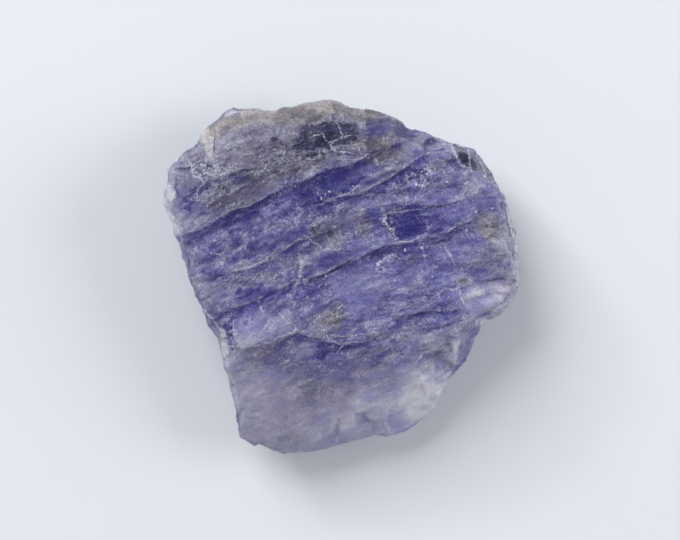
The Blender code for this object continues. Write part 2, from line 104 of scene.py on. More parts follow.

# Open cracks, and sharp lips with a painted highlight where they catch the light: half width, line.
PALE_LINES = {
    "upper crack a": (0.032, [(-1.01, 7.88), (-0.45, 7.15)]),
    "upper crack b": (0.034, [(-0.28, 8.5), (0.08, 7.94)]),
    "upper crack d": (0.03, [(-0.66, 7.57), (-0.1, 7.72), (0.44, 7.87)]),
    "corner ridge": (0.045, [(7.08, 7.05), (7.12, 6.6), (7.2, 6.3)]),
    "corner foot": (0.035, [(6.55, 6.28), (6.9, 6.14), (7.25, 6.04)]),
    "corner tip": (0.04, [(7.55, 6.85), (7.85, 6.3), (8.02, 5.9)]),
    "corner top": (0.035, [(6.3, 7.4), (6.8, 7.32), (7.2, 7.18)]),
    "upper crack c": (0.035, [(-1.6, 7.84), (-1.18, 7.94)]),
    "window foot": (0.04, [(-0.11, 6.98), (0.56, 6.87)]),
    "corner line": (0.045, [(5.51, 7.37), (6.18, 7.43)]),
    "corner streak": (0.09, [(6.18, 7.32), (6.24, 6.92), (6.35, 6.59), (6.52, 6.36)]),
    "left curl": (0.045, [(-8.43, 6.36), (-8.26, 5.74), (-7.87, 5.49), (-7.7, 5.1), (-8.03, 4.62),
        (-8.09, 4.34)]),
    "violet foot": (0.04, [(-1.24, 4.06), (-0.56, 4.28), (0.11, 4.56), (0.62, 4.85), (1.07, 5.24)]),
    "left dash": (0.045, [(-7.19, 1.33), (-6.52, 1.36)]),
    "ragged a": (0.04, [(-5.9, 0.41), (-5.11, 0.63), (-4.33, 0.97)]),
    "ragged b": (0.04, [(-4.49, 0.8), (-3.82, 1.19), (-3.23, 1.59), (-2.75, 1.87)]),
    "centre curl": (0.08, [(-2.36, 1.19), (-2.25, 0.74), (-2.3, 0.01), (-2.53, -0.32), (-2.75, -0.6)]),
    "centre ridge": (0.04, [(-2.04, 2.32), (-1.35, 1.84), (-1.07, 1.53), (-0.06, 1.59)]),
    "centre tail": (0.04, [(-0.96, 0.01), (-0.51, 0.29), (-0.11, 0.52)]),
    "window lip": (0.035, [(2.36, 3.44), (2.75, 3.61), (3.26, 3.69), (3.82, 3.67), (4.27, 3.72)]),
    "window foot right": (0.028, [(3.09, 2.04), (3.54, 1.92), (3.99, 1.98), (4.44, 2.15)]),
    "right sliver": (0.06, [(5.76, 1.92), (5.76, 1.59), (5.96, 1.25), (6.24, 0.8)]),
    "trail": (0.07, [(1.91, 0.52), (2.08, 0.86), (2.36, 1.08), (2.81, 1.31)]),
    "spall line": (0.045, [(-7.75, -1.84), (-7.25, -2.18), (-6.74, -2.85), (-6.35, -3.53)]),
    "block crack": (0.035, [(-4.66, -1.33), (-4.38, -1.84)]),
    "block curve a": (0.035, [(-4.49, -3.13), (-4.27, -2.68), (-3.93, -2.29)]),
    "block curve b": (0.035, [(-4.04, -2.96), (-3.76, -2.57), (-3.37, -2.29)]),
    "block left": (0.045, [(-6.07, -2.57), (-5.96, -3.08), (-5.84, -3.58), (-5.56, -3.92)]),
    "block right": (0.04, [(-5.56, -3.92), (-4.66, -3.75), (-3.76, -3.47), (-2.92, -3.08), (-2.47, -2.88),
        (-3.03, -2.4), (-3.48, -2.01)]),
    "lens line": (0.04, [(-1.69, -3.41), (-0.67, -3.58), (0.0, -3.81), (-0.28, -4.2)]),
    "lens layer a": (0.035, [(-0.67, -3.3), (0.17, -3.19), (1.01, -3.13)]),
    "lens layer b": (0.035, [(0.0, -3.64), (1.01, -3.58), (1.69, -3.41)]),
    "tip flake a": (0.05, [(2.5, -6.5), (2.9, -6.3), (3.25, -6.35)]),
    "tip flake b": (0.055, [(4.3, -7.3), (4.7, -6.8), (5.2, -6.5), (5.5, -6.1)]),
    "tip flake c": (0.045, [(3.6, -8.1), (4.2, -7.95), (4.7, -7.5)]),
    "tip flake d": (0.05, [(3.3, -7.2), (3.7, -6.6), (4.0, -5.9)]),
    "rim lip a": (0.06, [(9.1, 4.3), (9.35, 3.7), (9.5, 3.0)]),
    "rim lip b": (0.06, [(9.6, 2.4), (9.75, 1.7), (9.85, 1.0)]),
    "lower arc": (0.045, [(4.1, -4.65), (4.49, -4.26), (4.94, -3.97), (5.51, -3.69)]),
    "lobe zigzag": (0.065, [(5.28, -0.88), (5.56, -0.6), (5.9, -0.55), (6.12, -0.72), (6.4, -0.66)]),
    "lobe stem": (0.05, [(6.46, -0.72), (6.57, -1.11), (6.8, -1.56)]),
    "lobe corner": (0.04, [(9.33, 0.18), (9.44, 0.04), (9.66, 0.01)]),
    "lobe rim": (0.045, [(9.83, -0.32), (9.49, -0.88), (9.16, -1.22), (8.76, -1.67), (8.43, -2.01)]),
    "upper speckled": (0.04, [(0.56, 6.31), (1.01, 6.56), (1.46, 6.87)]),
    "lip dash": (0.04, [(1.85, 1.76), (2.25, 1.92)]),
    "violet right lip": (0.018, [(4.61, 3.16), (4.78, 2.77)]),
}

# Painted shade in deep narrow steps: half width, line.
DARK_LINES = {
    "upper dash": (0.04, [(-3.09, 6.47), (-2.58, 6.64)]),
    "left upright": (0.05, [(-7.13, 7.77), (-7.11, 6.98)]),
    "centre foot": (0.055, [(-0.73, 0.35), (-0.11, 0.63), (0.51, 0.94)]),
    "right dash": (0.055, [(5.0, 1.76), (5.34, 1.92), (5.73, 2.06), (6.12, 2.32)]),
    "corner edge": (0.04, [(6.4, 7.26), (6.52, 6.76), (6.74, 6.36)]),
    "lobe seam": (0.04, [(8.15, -0.21), (8.54, -0.1), (8.99, -0.15)]),
    "lobe shade": (0.045, [(9.55, -0.77), (9.16, -1.17), (8.82, -1.5)]),
    "rim shade": (0.045, [(9.04, 4.4), (9.21, 3.55), (9.33, 2.88), (9.49, 2.21)]),
}

# Painted glints, white dots where chips catch the light: place across the face, radius.
PAINTED_GLINTS = [
    (-1.12, 4.36, 0.1), (-0.68, 4.72, 0.09), (7.98, 5.63, 0.11), (7.28, 5.97, 0.08), (5.87, 5.29, 0.1),
    (4.83, 5.86, 0.13), (4.66, 6.03, 0.08), (4.12, 5.18, 0.12), (4.44, 4.96, 0.11), (4.07, 4.48, 0.09),
    (2.84, 4.56, 0.06), (3.52, 4.06, 0.07), (6.4, 4.47, 0.09), (0.65, 5.07, 0.07), (-0.96, 0.01, 0.11),
    (2.34, 3.16, 0.13), (2.47, 2.99, 0.08), (2.64, 2.74, 0.11), (2.81, 2.37, 0.09), (3.01, 2.12, 0.08),
    (4.59, 1.18, 0.11), (4.44, 1.58, 0.09), (3.48, 1.5, 0.1), (2.02, 0.74, 0.1), (7.42, 3.61, 0.1),
    (6.88, 2.88, 0.07), (6.88, 2.63, 0.07), (8.88, 4.37, 0.08), (5.9, 2.57, 0.06), (8.31, 3.86, 0.08),
    (7.11, -0.17, 0.09), (5.0, 0.01, 0.07), (5.39, -1.0, 0.08), (9.53, 0.86, 0.08), (9.75, 0.83, 0.08),
    (9.76, -0.38, 0.1), (-0.06, -1.56, 0.07), (-0.22, -1.78, 0.06), (0.17, -1.45, 0.06),
    (-1.01, -2.96, 0.09), (-7.47, 4.0, 0.07), (-4.33, 5.35, 0.08), (-7.3, 3.1, 0.07),
]

# Rusty grains in the stone: place across the face, radius.
RUST = [
    (-5.06, 7.21, 0.12), (-1.8, 8.91, 0.12), (6.71, -0.15, 0.28), (8.15, -0.18, 0.09), (6.04, 1.64, 0.07),
    (-2.25, 9.4, 0.11),
]

# Places of the front with looks of their own, by their corners: dark cracked windows, clean violet
# windows, clean pale flats, warm grey patches, clusters of painted glints and painted pit shade,
# colourless rims and tip, and cream flakes.
ZONES = {
    "navy": [
        [(-2.75, 6.95), (-2.7, 7.6), (-2.25, 8.35), (-0.9, 8.65), (0.67, 8.52), (0.93, 8.1), (0.93, 7.6),
         (-0.7, 7.22), (-2.6, 6.88)],
        [(-2.25, 6.75), (-1.4, 6.95), (0.3, 7.05), (0.85, 7.0), (0.6, 6.75), (-0.6, 6.85)],
        [(6.35, 7.15), (6.97, 6.98), (7.13, 6.59), (7.13, 6.08), (6.85, 6.08), (6.35, 6.59)],
        [(7.22, 6.6), (7.55, 6.5), (7.9, 6.13), (7.75, 5.92), (7.25, 6.02)],
        [(6.2, 7.5), (6.85, 7.4), (7.3, 7.2), (7.25, 7.02), (6.8, 7.15), (6.25, 7.28)],
        [(8.0, 6.4), (8.3, 6.05), (8.45, 5.65), (8.2, 5.7), (7.95, 6.1)],
        [(0.62, 8.22), (0.96, 8.16), (0.96, 7.71), (0.67, 7.71)],
    ],
    "violet": [
        [(2.53, 3.38), (3.15, 3.61), (4.27, 3.72), (4.44, 3.16), (4.66, 2.71), (4.49, 2.21), (3.48, 2.09),
         (3.15, 2.15), (2.75, 2.88)],
        [(-1.35, 5.69), (-0.67, 5.91), (0.17, 6.03), (1.12, 6.31), (1.24, 5.46), (0.79, 5.01), (0.0, 4.68),
         (-1.12, 4.4)],
        [(-2.42, 4.68), (-1.35, 4.85), (-1.18, 4.17), (-2.02, 3.78)],
        [(2.58, 7.43), (3.26, 7.6), (3.37, 7.15), (2.7, 6.98)],
        [(3.88, 7.04), (4.66, 7.26), (4.78, 6.7), (3.99, 6.42)],
        [(7.64, 4.9), (8.43, 5.01), (9.04, 4.56), (8.88, 4.28), (7.87, 4.4)],
        [(-6.12, 5.69), (-5.51, 5.74), (-5.45, 5.35), (-6.07, 5.29)],
        [(-1.24, 1.31), (-0.11, 1.42), (0.9, 1.36), (0.45, 0.86), (-0.73, 0.41), (-1.29, 0.63)],
        [(-5.96, -0.66), (-4.89, -0.44), (-3.71, -0.55), (-3.82, -1.22), (-4.89, -1.45), (-5.84, -1.33)],
        [(-8.03, 0.35), (-7.36, 0.41), (-6.69, 0.29), (-6.74, 0.07), (-7.7, 0.07)],
        [(-9.27, 4.34), (-8.65, 4.51), (-8.2, 4.17), (-8.43, 3.61), (-9.1, 3.67)],
        [(-6.74, 3.27), (-5.73, 3.55), (-4.72, 3.89), (-4.49, 3.33), (-5.39, 2.77), (-6.63, 2.6)],
        [(1.35, 8.5), (2.02, 8.72), (2.7, 8.38), (2.36, 7.88), (1.46, 7.88)],
        [(-5.17, 1.87), (-4.72, 1.98), (-4.44, 1.7), (-4.83, 1.36), (-5.17, 1.42)],
        [(-6.74, -2.74), (-6.24, -2.68), (-5.84, -3.58), (-6.29, -3.41)],
    ],
    "pale": [
        [(-0.67, 0.13), (0.45, 0.63), (1.91, 0.74), (2.47, -0.15), (2.13, -1.56), (0.56, -2.18),
         (-0.45, -1.28)],
        [(-6.07, -2.51), (-5.73, -2.18), (-5.06, -1.9), (-4.04, -1.9), (-3.48, -2.01), (-2.47, -2.88),
         (-3.76, -3.47), (-5.56, -3.92), (-5.84, -3.58)],
        [(-10.0, 4.9), (-9.44, 5.24), (-8.88, 5.01), (-8.88, 4.34), (-9.44, 3.89), (-10.0, 4.12)],
        [(-4.72, 5.46), (-4.04, 5.63), (-3.03, 5.46), (-2.92, 4.9), (-4.04, 4.56), (-4.66, 4.79)],
        [(-3.65, 4.0), (-3.03, 4.17), (-2.64, 3.89), (-2.87, 3.55), (-3.54, 3.55)],
        [(6.74, -0.49), (7.75, -0.27), (8.88, -0.32), (9.33, -0.72), (8.76, -1.5), (7.75, -1.95),
         (6.97, -1.95)],
        [(7.08, -0.94), (7.53, -1.0), (7.75, -1.62), (7.42, -2.01), (7.08, -1.62)],
        [(4.38, -6.22), (5.06, -6.0), (5.56, -6.45), (5.39, -7.35), (4.61, -7.46)],
        [(1.69, -8.58), (2.7, -8.47), (3.37, -8.69), (2.81, -9.03), (1.8, -9.03)],
        [(-10.0, 3.89), (-9.44, 3.89), (-8.99, 2.88), (-9.1, 2.21), (-9.66, 2.88)],
        [(3.48, 7.49), (4.38, 7.65), (5.73, 7.26), (5.51, 6.59), (4.61, 5.91), (3.26, 6.59)],
        [(4.83, 2.32), (5.84, 2.54), (6.63, 2.32), (6.52, 1.53), (5.51, 0.86), (4.94, 1.53)],
    ],
    "tan": [
        [(-7.98, 8.38), (-7.19, 8.72), (-5.51, 9.28), (-4.49, 9.28), (-4.72, 8.61), (-6.29, 8.16),
         (-7.53, 7.71)],
        [(-4.72, 9.28), (-2.36, 9.73), (-0.11, 9.9), (0.11, 9.28), (-1.12, 8.61), (-2.58, 8.61),
         (-4.49, 8.5)],
        [(0.11, 9.73), (1.46, 9.51), (2.58, 8.95), (2.36, 8.61), (1.12, 8.72), (0.22, 9.06)],
        [(2.98, 8.95), (3.31, 8.89), (3.37, 8.05), (3.03, 8.05)],
        [(3.26, 8.33), (3.65, 8.27), (3.65, 7.94), (3.31, 7.94)],
        [(0.73, 3.5), (1.35, 3.67), (1.69, 2.88), (1.35, 2.09), (0.79, 2.32)],
        [(-0.96, -1.67), (-0.11, -1.45), (0.28, -2.06), (-0.11, -2.68), (-0.9, -2.51)],
        [(3.6, 1.08), (3.93, 1.31), (4.27, 1.14), (4.04, 0.8), (3.71, 0.8)],
        [(7.64, 3.55), (8.65, 3.44), (8.88, 2.54), (8.2, 2.09), (7.53, 2.54)],
        [(0.56, 7.6), (2.36, 7.94), (3.48, 7.15), (2.81, 6.36), (1.35, 6.25), (0.56, 6.81)],
    ],
    "glitter": [
        [(7.08, 7.32), (7.6, 7.15), (8.12, 6.45), (8.64, 5.58), (8.99, 4.9), (8.47, 5.07), (7.95, 5.67),
         (7.51, 6.53)],
        [(4.1, 6.1), (4.75, 6.2), (5.05, 5.75), (4.6, 5.0), (4.1, 4.95)],
        [(2.1, 3.3), (2.45, 3.6), (3.2, 3.75), (3.2, 3.62), (2.75, 3.42), (2.8, 2.95), (3.05, 2.45),
         (3.25, 2.0), (2.95, 1.9), (2.65, 2.4), (2.35, 2.85)],
        [(-3.95, 4.4), (-3.95, 4.8), (-3.1, 5.35), (-2.1, 5.75), (-1.95, 5.5), (-2.95, 5.05)],
        [(9.05, 4.6), (9.3, 4.4), (9.8, 2.6), (9.99, 0.8), (9.99, -0.8), (9.55, -0.6), (9.6, 1.0),
         (9.35, 2.6)],
        [(-8.6, 6.4), (-7.9, 6.6), (-7.0, 6.2), (-6.4, 5.9), (-7.6, 5.4), (-8.4, 5.7)],
        [(-6.2, -2.6), (-5.9, -2.5), (-5.5, -3.9), (-6.1, -4.6), (-6.4, -4.1)],
    ],
    "clear": [
        [(9.2, 4.2), (9.45, 3.9), (9.85, 2.4), (10.1, 0.8), (10.1, -0.8), (9.72, -0.6), (9.72, 1.0),
         (9.45, 2.6)],
        [(-10.1, 5.2), (-9.4, 5.3), (-9.3, 4.6), (-9.55, 4.0), (-9.25, 3.2), (-9.1, 2.3), (-10.1, 2.4)],
        [(9.75, -0.9), (9.2, -1.9), (8.3, -2.6), (7.4, -2.75), (7.4, -2.45), (8.2, -2.2), (9.0, -1.5)],
        [(6.6, -3.6), (6.3, -4.9), (5.5, -6.9), (5.2, -6.8), (5.9, -5.0), (6.2, -3.6)],
        [(-6.8, -2.9), (-6.6, -2.8), (-6.1, -4.3), (-6.4, -5.2), (-6.9, -4.4)],
    ],
    "cream": [
        [(-7.98, 8.27), (-7.58, 8.5), (-7.3, 8.16), (-7.42, 7.49), (-7.87, 7.43)],
        [(-7.58, 8.05), (-7.19, 8.1), (-7.19, 6.59), (-7.53, 6.7)],
    ],
}

# Soft patches of the front: place across the face, reach along and across the bands, weight.
# First how much lighter than the rest each is, then how much greyer.
LIGHTNESS = [
    (-1.3, 7.6, 2.5, 1.1, -0.9), (2.4, 8.4, 1.6, 0.9, -0.5), (2.1, 7.1, 1.8, 0.9, -0.45),
    (-4.2, 6.6, 1.5, 0.7, -0.35), (-2.6, 6.1, 1.6, 0.5, -0.6), (-7.0, 7.4, 0.7, 0.6, -0.25),
    (-6.8, 6.5, 1.8, 1.0, -0.3), (-5.8, 5.0, 2.2, 0.8, -0.5), (-8.7, 4.1, 0.9, 0.6, -0.5),
    (7.0, 6.6, 1.0, 0.7, -0.8), (4.9, 6.6, 1.2, 0.7, 0.1), (-1.9, 4.2, 2.0, 0.7, -0.7),
    (-0.3, 5.5, 1.7, 0.8, -0.45), (-6.2, 3.2, 2.3, 0.6, -0.75), (-6.8, 1.5, 1.6, 0.9, -0.25),
    (-6.8, -0.9, 1.6, 0.8, -0.2), (-1.0, 2.8, 1.6, 0.9, -0.45), (3.8, 3.0, 1.5, 0.9, -0.9),
    (3.3, 5.4, 1.5, 0.4, -0.3), (-1.7, -0.3, 1.2, 0.6, -0.3), (-0.4, 1.1, 1.7, 0.4, 0.15),
    (6.0, 3.6, 1.5, 0.5, 0.2), (-6.5, -2.7, 0.7, 0.8, -0.4), (-0.7, -4.0, 2.8, 0.6, -0.25),
    (6.1, -1.7, 1.2, 0.7, -0.3), (6.2, 1.4, 1.2, 0.8, 0.3), (-4.9, 9.1, 3.4, 0.7, 0.5),
    (-1.0, 9.7, 1.7, 0.6, 0.4), (-7.7, 7.8, 0.6, 0.7, 0.9), (-9.6, 4.9, 0.4, 0.8, 0.9),
    (-9.6, 3.2, 0.4, 0.9, 0.9), (-4.6, -2.5, 1.7, 0.8, 0.35), (8.6, 2.9, 0.8, 2.0, 0.4),
    (7.9, -0.9, 1.5, 1.0, 0.95), (4.9, -6.6, 1.6, 1.3, 1.75), (4.1, -6.9, 0.8, 0.25, -0.6),
    (4.9, -5.9, 0.9, 0.22, -0.5), (1.0, -7.7, 3.4, 1.1, 0.8), (-5.2, -6.3, 1.1, 3.1, 0.3),
    (-5.4, -3.8, 0.9, 0.6, 0.4), (4.9, -3.2, 1.8, 0.9, 0.5), (6.0, 2.9, 1.8, 0.5, -0.45),
    (0.3, -6.0, 2.2, 1.0, -0.3), (5.3, 5.4, 1.6, 0.8, -0.25), (1.0, -0.7, 2.0, 1.1, 0.15),
    (3.3, -4.1, 1.1, 0.6, 0.2), (-6.6, -3.8, 0.3, 1.1, 0.7),
]
GREYNESS = [
    (-5.7, 7.1, 3.9, 2.4, 0.9), (-0.7, 9.4, 4.5, 1.2, 0.9), (-2.4, 6.3, 2.2, 0.7, 0.6),
    (2.1, 7.1, 2.5, 1.2, 0.5), (-5.7, 4.9, 2.8, 0.7, 0.7), (-0.1, 2.9, 1.7, 0.7, 0.5),
    (8.6, 2.7, 1.1, 2.2, 0.5), (4.9, 6.3, 1.4, 0.8, 0.3), (-5.2, -0.2, 2.8, 0.7, 0.3),
    (-1.5, 1.5, 1.4, 1.0, 0.4), (-0.7, -2.1, 1.1, 0.7, 0.5), (-4.6, -4.4, 2.2, 0.8, 0.5),
    (-2.4, -6.9, 6.2, 2.8, 0.6), (5.5, -3.8, 1.7, 1.2, 0.3), (8.3, -0.7, 1.4, 1.1, 0.3),
    (-0.7, 5.4, 2.2, 0.8, -0.7), (-2.4, 4.1, 2.2, 0.8, -0.5), (-6.2, 3.1, 2.2, 0.6, -0.5),
    (3.8, 2.9, 2.5, 1.1, -0.7), (6.1, 3.8, 2.2, 0.6, -0.5), (-8.0, 4.1, 0.8, 0.6, -0.4),
    (0.4, 1.0, 2.5, 0.7, -0.4), (1.3, -0.7, 2.5, 1.6, -0.6), (5.5, 0.7, 1.7, 1.2, -0.5),
    (-0.7, -4.0, 3.4, 0.8, -0.5), (-5.2, -2.3, 1.4, 0.6, -0.2), (3.3, -4.1, 1.1, 0.7, -0.3),
]

# How much of the solid's relief is smoothed away over a short and a long reach, the rounds of
# averaging of each reach, and where more of it is: place, reach, share.
CALM = 0.66
CALM_ROUNDS = 60
CALM_PATCHES = [
    (-1.0, 7.8, 2.6, 1.4, 0.45), (0.3, 9.0, 0.9, 0.6, 0.4), (-8.0, 4.2, 1.3, 1.2, 0.4),
    (3.5, 2.9, 1.6, 0.9, 0.4), (0.0, 5.2, 1.6, 0.8, 0.4),
]
CALMER = 0.85
CALMER_ROUNDS = 240
CALMER_PATCHES = [
    (-0.9, 7.8, 2.5, 1.2, 1.2), (0.3, 9.0, 1.2, 0.7, 0.6), (3.5, 2.9, 1.5, 0.8, 0.8),
]

# Thickness in millimetres over which the stone gains its full colour; thinner is paler and painted as lit
# through.
FULL_COLOUR = 0.9

# How much of each painted glint's radius is bright.
PAINTED_GLINT_SHARE = 0.55

# Beyond this distance a line or dot no longer counts.
LINE_REACH = 0.26

# Waves in the borders of soft patches, and of lines, dots and zones: heights and widths.
PATCH_WAVES = ((0.35, 1.3), (0.15, 0.5))
DETAIL_WAVES = ((0.08, 0.45), (0.04, 0.18))


def ramp(value):
    """Smooth step from 0 at 0 to 1 at 1."""
    t = np.clip(value, 0, 1)
    return t * t * (3 - 2 * t)


def lattice(cells, seed):
    """A fixed pseudo-random value from 0 to 1 for each cell of a lattice of any dimension."""
    mixed = np.full(np.shape(cells[0]), seed * 69069, np.int64)
    for cell, factor in zip(cells, (374761393, 668265263, 950706376)):
        mixed = mixed + cell.astype(np.int64) * factor
    mixed = mixed & 0xFFFFFFFF
    mixed = ((mixed ^ (mixed >> 13)) * 1274126177) & 0xFFFFFFFF
    mixed = ((mixed ^ (mixed >> 16)) * 2246822519) & 0xFFFFFFFF
    return (mixed ^ (mixed >> 15)) / 0xFFFFFFFF


def noise(x, y, cell, seed):
    """Smooth noise from -1 to 1 whose humps are about a cell across."""
    x, y = x / cell, y / cell
    column, row = np.floor(x), np.floor(y)
    across, up = ramp(x - column), ramp(y - row)
    low = lattice((column, row), seed) * (1 - across) + lattice((column + 1, row), seed) * across
    high = lattice((column, row + 1), seed) * (1 - across) + lattice((column + 1, row + 1), seed) * across
    return 2 * (low * (1 - up) + high * up) - 1


def band_coordinates(x, y):
    """Distances along and across the crystal's gently arched bands."""
    turn = math.radians(BAND_ANGLE)
    along = x * math.cos(turn) + y * math.sin(turn)
    across = y * math.cos(turn) - x * math.sin(turn)
    return along, across + BAND_ARCH * along**2


def shingles(along, across, spacing, seed):
    """Layers of random length that each rise towards their lower edge and end there in a riser."""
    wander = 0.45 * noise(along, 2.5 * across, 3.4, seed)
    ragged = 0.16 * noise(along, across, 0.5, seed + 1)
    place = across / spacing + wander + ragged
    layer = np.floor(place)
    rise = 1 - (place - layer)
    length = 1.2 + 2.6 * lattice((layer,), seed + 2)
    block = np.floor(along / length + 7 * lattice((layer,), seed + 3))
    proud = lattice((block, layer), seed + 4) * rise * ramp((1 - rise) / 0.12)
    return proud + 0.30 * (lattice((block, layer), seed + 5) - 0.5)


def broken_grain(points, cell, seed):
    """Small flat facets of random height and tilt in three dimensions."""
    middles = np.floor(points / cell)
    nearest = np.full(len(points), np.inf)
    height = np.zeros(len(points))
    for step in np.ndindex(3, 3, 3):
        found = (middles + np.array(step) - 1).T
        centres = [(found[axis] + lattice(found, seed + axis)) * cell for axis in range(3)]
        offsets = [points[:, axis] - centres[axis] for axis in range(3)]
        distance = np.sqrt(sum(offset**2 for offset in offsets))
        level = lattice(found, seed + 3) - 0.5
        for axis in range(3):
            level = level + 1.6 * (lattice(found, seed + 4 + axis) - 0.5) * offsets[axis] / cell
        closer = distance < nearest
        nearest = np.where(closer, distance, nearest)
        height = np.where(closer, level, height)
    return height


def coordinates(mesh):
    """The mesh's points in millimetres."""
    flat = np.zeros(3 * len(mesh.vertices))
    mesh.vertices.foreach_get("co", flat)
    return flat.reshape(-1, 3) / MM


def set_coordinates(mesh, points):
    """Moves the mesh's points to these places in millimetres."""
    mesh.vertices.foreach_set("co", (points * MM).ravel())
    mesh.update()


def normals(mesh):
    """The mesh's point normals."""
    flat = np.zeros(3 * len(mesh.vertices))
    mesh.vertex_normals.foreach_get("vector", flat)
    return flat.reshape(-1, 3)


def neighbours(mesh):
    """Both ends of every edge, and the number of edges at each point."""
    flat = np.zeros(2 * len(mesh.edges), np.int64)
    mesh.edges.foreach_get("vertices", flat)
    ends = flat.reshape(-1, 2)
    return ends, np.bincount(flat, minlength=len(mesh.vertices))


def averaged(values, links, rounds):
    """Values at the points, each round moved halfway to the mean of their neighbours."""
    ends, count = links
    for _ in range(rounds):
        total = np.empty_like(values)
        for column in range(values.shape[1]):
            total[:, column] = (np.bincount(ends[:, 0], values[ends[:, 1], column], len(values))
                                + np.bincount(ends[:, 1], values[ends[:, 0], column], len(values)))
        values = 0.5 * values + 0.5 * total / count[:, None]
    return values


def surface_of(mesh, points):
    """The mesh's triangles at these points, for finding places on them."""
    mesh.calc_loop_triangles()
    triangles = [tuple(triangle.vertices) for triangle in mesh.loop_triangles]
    return BVHTree.FromPolygons(points.tolist(), triangles)


def even_mesh(node):
    """The solid's surface with evenly spread points, closer together across the bands."""
    turn = math.radians(BAND_ANGLE)
    cosine, sine = math.cos(turn), math.sin(turn)
    to_bands = np.array([[cosine, -sine, 0], [sine, cosine, 0], [0, 0, 1]])
    mesh = node.data.copy()
    corners = coordinates(mesh)
    surface = surface_of(mesh, corners)
    mesh.vertices.foreach_set("co", (corners @ to_bands / SPACING).ravel())
    stone = bpy.data.objects.new("iolite_stone", mesh)
    bpy.context.scene.collection.objects.link(stone)
    remesh = stone.modifiers.new("even", "REMESH")
    remesh.mode = "VOXEL"
    remesh.voxel_size = 1.0
    evaluated = stone.evaluated_get(bpy.context.evaluated_depsgraph_get())
    even = bpy.data.meshes.new_from_object(evaluated)
    stone.modifiers.clear()
    stone.data = even
    points = coordinates(even) * MM * SPACING @ to_bands.T
    snapped = np.array([surface.find_nearest(point)[0] for point in points.tolist()])
    set_coordinates(even, snapped)
    return stone


def signed_distance(x, y, line):
    """Distance to a line of points, above zero on its left and below it on its right."""
    nearest = np.full(len(x), np.inf)
    signed = np.zeros(len(x))
    for start, end in zip(line[:-1], line[1:]):
        run = np.subtract(end, start)
        share = np.clip(((x - start[0]) * run[0] + (y - start[1]) * run[1]) / (run @ run), 0, 1)
        away_x, away_y = x - start[0] - share * run[0], y - start[1] - share * run[1]
        reach = np.hypot(away_x, away_y)
        side = np.where(run[0] * away_y - run[1] * away_x >= 0, 1, -1)
        closer = reach < nearest
        nearest = np.where(closer, reach, nearest)
        signed = np.where(closer, side * reach, signed)
    return signed


def line_map(x, y, lines):
    """Signed distance to the nearest line in its half widths, and 1 near it down to 0 away from it."""
    nearest = np.full(len(x), np.inf)
    ratio = np.zeros(len(x))
    for half_width, line in lines.values():
        signed = signed_distance(x, y, line)
        closer = np.abs(signed) < nearest
        nearest = np.where(closer, np.abs(signed), nearest)
        ratio = np.where(closer, signed / half_width, ratio)
    return ratio, 1 - ramp((nearest - 0.6 * LINE_REACH) / (0.4 * LINE_REACH))


def dot_map(x, y, dots):
    """Offset from the nearest dot in its radii, and 1 near that dot down to 0 away from it."""
    nearest = np.full(len(x), np.inf)
    offsets = np.zeros((len(x), 3))
    for middle_x, middle_y, radius in dots:
        away = np.hypot(x - middle_x, y - middle_y)
        closer = away < nearest
        nearest = np.where(closer, away, nearest)
        new = np.stack([x - middle_x, y - middle_y, 0 * x], axis=1) / radius
        offsets = np.where(closer[:, None], new, offsets)
    return offsets, 1 - ramp((nearest - 0.8 * LINE_REACH) / (0.4 * LINE_REACH))


def outside_shape(x, y, corners):
    """Distance outside a closed shape, below zero inside it."""
    closed = list(corners) + [corners[0]]
    distance = np.abs(signed_distance(x, y, closed))
    inside = np.zeros(len(x), bool)
    for (x0, y0), (x1, y1) in zip(closed[:-1], closed[1:]):
        if y0 != y1:
            crosses = (y0 > y) != (y1 > y)
            inside ^= crosses & (x < (x1 - x0) * (y - y0) / (y1 - y0) + x0)
    return np.where(inside, -distance, distance)


def zone_map(x, y, shapes):
    """Distance outside the nearest of several shapes."""
    nearest = np.full(len(x), 2.0)
    for corners in shapes:
        nearest = np.minimum(nearest, outside_shape(x, y, corners))
    return nearest


def ledge_maps(along, across):
    """Painted shade below the ledges, from 0 to 1, and each one's pale lip, frost and painted highlight."""
    shade, lip = np.zeros(len(along)), np.zeros(len(along))
    for strength, reach, line in LEDGES.values():
        line_along, line_across = band_coordinates(*np.array(line).T)
        ragged = 0.10 * noise(along, across, 0.7, seed=3) + 0.03 * noise(along, across, 0.2, seed=4)
        above = across - np.interp(along, line_along, line_across) - ragged
        ends = ramp((along - line_along[0]) / LEDGE_END + 0.5)
        ends *= ramp((line_along[-1] - along) / LEDGE_END + 0.5)
        below = np.where(above < 0, np.exp(above / reach), 0) * ramp(-above / 0.05)
        shade = np.maximum(shade, strength * ends * below)
        lip = np.maximum(lip, ends * strength * np.exp(-((above - 0.04) / 0.05) ** 2))
    return shade, lip


def store(mesh, name, values):
    """Keeps one number or vector per point of the mesh."""
    if values.ndim == 1:
        mesh.attributes.new(name, "FLOAT", "POINT").data.foreach_set("value", values.astype(np.float32))
    else:
        layer = mesh.attributes.new(name, "FLOAT_VECTOR", "POINT")
        layer.data.foreach_set("vector", values.astype(np.float32).ravel())


def wavy(x, y, waves, seed):
    """Places moved a little by smooth noise. Each of the two waves is its height and its width."""
    (high, wide), (low, narrow) = waves
    x = x + high * noise(x, y, wide, seed) + low * noise(x, y, narrow, seed + 1)
    y = y + high * noise(x, y, wide, seed + 2) + low * noise(x, y, narrow, seed + 3)
    return x, y


def soft_patches(x, y, patches):
    """Sum of soft elliptic patches that lie along the bands."""
    x, y = wavy(x, y, PATCH_WAVES, seed=401)
    along, across = band_coordinates(x, y)
    total = np.zeros(len(x))
    for middle_x, middle_y, reach_along, reach_across, weight in patches:
        middle_along, middle_across = band_coordinates(middle_x, middle_y)
        away = ((along - middle_along) / reach_along) ** 2 + ((across - middle_across) / reach_across) ** 2
        total += weight * np.exp(-away)
    return total


